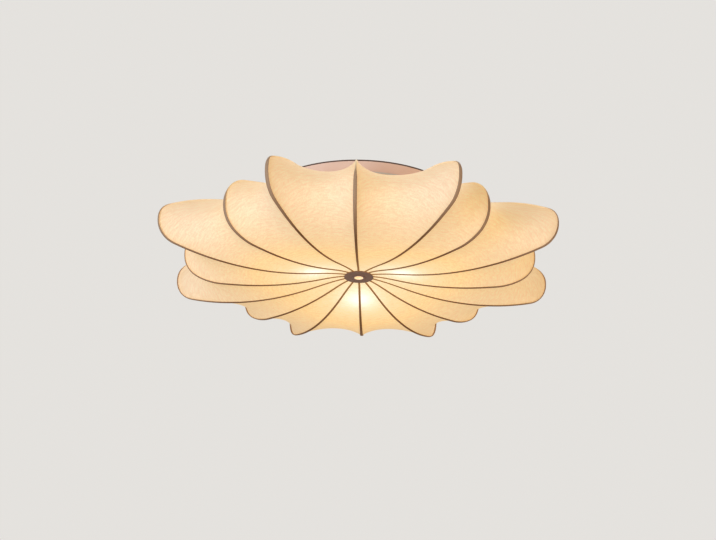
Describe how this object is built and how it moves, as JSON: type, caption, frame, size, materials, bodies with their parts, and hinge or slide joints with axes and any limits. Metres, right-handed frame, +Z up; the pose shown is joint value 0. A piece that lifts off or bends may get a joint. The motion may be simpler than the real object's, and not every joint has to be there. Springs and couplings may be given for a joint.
{
  "type": "flush mount ceiling light",
  "caption": "Round flush ceiling light: scalloped stretched-fabric shade on long and short wire ribs, white canopy, lamp cluster inside",
  "frame": {"origin": "on the ceiling plane at the lamp's axis, centre of the two ceiling screws", "axes": "+Z up into the ceiling, X along the ceiling bracket, -Y towards the usual viewer"},
  "size_m": [0.5574, 0.5574, 0.1337],
  "materials": {
    "zinc_steel": "zinc plated",
    "canopy_paint": "satin white paint",
    "terminal_plastic": "matte",
    "brass": "plain",
    "wire_cover": "soft sleeve",
    "holder_plastic": "matte",
    "bulb_cap_metal": "threaded shell",
    "opal_glass": "opal, lit",
    "hub_paint": "dark bronze grey",
    "rib_cover": "taupe coated wire",
    "shade_fabric": "stretched ivory silk"
  },
  "bodies": {
    "base": {"ceiling_bracket": "zinc_steel", "bracket_studs": "zinc_steel", "earth_screw": "zinc_steel", "canopy": "canopy_paint", "canopy_cap_nuts": "canopy_paint", "terminal_block": "terminal_plastic", "terminal_screws": "brass", "cluster_nipple": "brass", "lock_nuts": "brass", "lampholder_spider": "zinc_steel", "lampholder_1": "holder_plastic", "lampholder_2": "holder_plastic", "lampholder_3": "holder_plastic", "lamp_wires": "wire_cover"},
    "shade": {"hub_disc": "hub_paint", "hub_plate": "hub_paint", "hub_eyelet": "hub_paint", "top_collar": "canopy_paint", "collar_weld_nuts": "canopy_paint", "rib_short_1": "rib_cover", "rib_short_2": "rib_cover", "rib_short_3": "rib_cover", "rib_short_4": "rib_cover", "rib_short_5": "rib_cover", "rib_short_6": "rib_cover", "rib_short_7": "rib_cover", "rib_short_8": "rib_cover", "rib_long_1": "rib_cover", "rib_long_2": "rib_cover", "rib_long_3": "rib_cover", "rib_long_4": "rib_cover", "rib_long_5": "rib_cover", "rib_long_6": "rib_cover", "rib_long_7": "rib_cover", "rib_long_8": "rib_cover", "fabric_gore_1": "shade_fabric", "fabric_gore_2": "shade_fabric", "fabric_gore_3": "shade_fabric", "fabric_gore_4": "shade_fabric", "fabric_gore_5": "shade_fabric", "fabric_gore_6": "shade_fabric", "fabric_gore_7": "shade_fabric", "fabric_gore_8": "shade_fabric", "fabric_gore_9": "shade_fabric", "fabric_gore_10": "shade_fabric", "fabric_gore_11": "shade_fabric", "fabric_gore_12": "shade_fabric", "fabric_gore_13": "shade_fabric", "fabric_gore_14": "shade_fabric", "fabric_gore_15": "shade_fabric", "fabric_gore_16": "shade_fabric"},
    "thumbscrew_1_body": {"thumbscrew_1": "canopy_paint"},
    "thumbscrew_2_body": {"thumbscrew_2": "canopy_paint"},
    "thumbscrew_3_body": {"thumbscrew_3": "canopy_paint"},
    "bulb_1": {"bulb_cap_1": "bulb_cap_metal", "bulb_globe_1": "opal_glass"},
    "bulb_2": {"bulb_cap_2": "bulb_cap_metal", "bulb_globe_2": "opal_glass"},
    "bulb_3": {"bulb_cap_3": "bulb_cap_metal", "bulb_globe_3": "opal_glass"}
  },
  "joints": [
    {"name": "shade_drop", "type": "slide", "parent": "base", "child": "shade", "axis": [0, 0, -1], "range_m": [0, 0.15]},
    {"name": "thumbscrew_1_turn", "type": "hinge", "parent": "shade", "child": "thumbscrew_1_body", "pos_m": [-0.03024, 0.15202, -0.0185], "axis": [-0.1951, 0.9808, 0], "range_deg": [0, 1080]},
    {"name": "thumbscrew_2_turn", "type": "hinge", "parent": "shade", "child": "thumbscrew_2_body", "pos_m": [-0.11653, -0.1022, -0.0185], "axis": [-0.7518, -0.6593, 0], "range_deg": [0, 1080]},
    {"name": "thumbscrew_3_turn", "type": "hinge", "parent": "shade", "child": "thumbscrew_3_body", "pos_m": [0.14677, -0.04982, -0.0185], "axis": [0.9469, -0.3214, 0], "range_deg": [0, 1080]},
    {"name": "bulb_1_turn", "type": "hinge", "parent": "base", "child": "bulb_1", "pos_m": [0, 0.045, -0.066], "axis": [0, 1, 0], "range_deg": [0, 1620]},
    {"name": "bulb_2_turn", "type": "hinge", "parent": "base", "child": "bulb_2", "pos_m": [-0.03897, -0.0225, -0.066], "axis": [-0.866, -0.5, 0], "range_deg": [0, 1620]},
    {"name": "bulb_3_turn", "type": "hinge", "parent": "base", "child": "bulb_3", "pos_m": [0.03897, -0.0225, -0.066], "axis": [0.866, -0.5, 0], "range_deg": [0, 1620]}
  ]
}
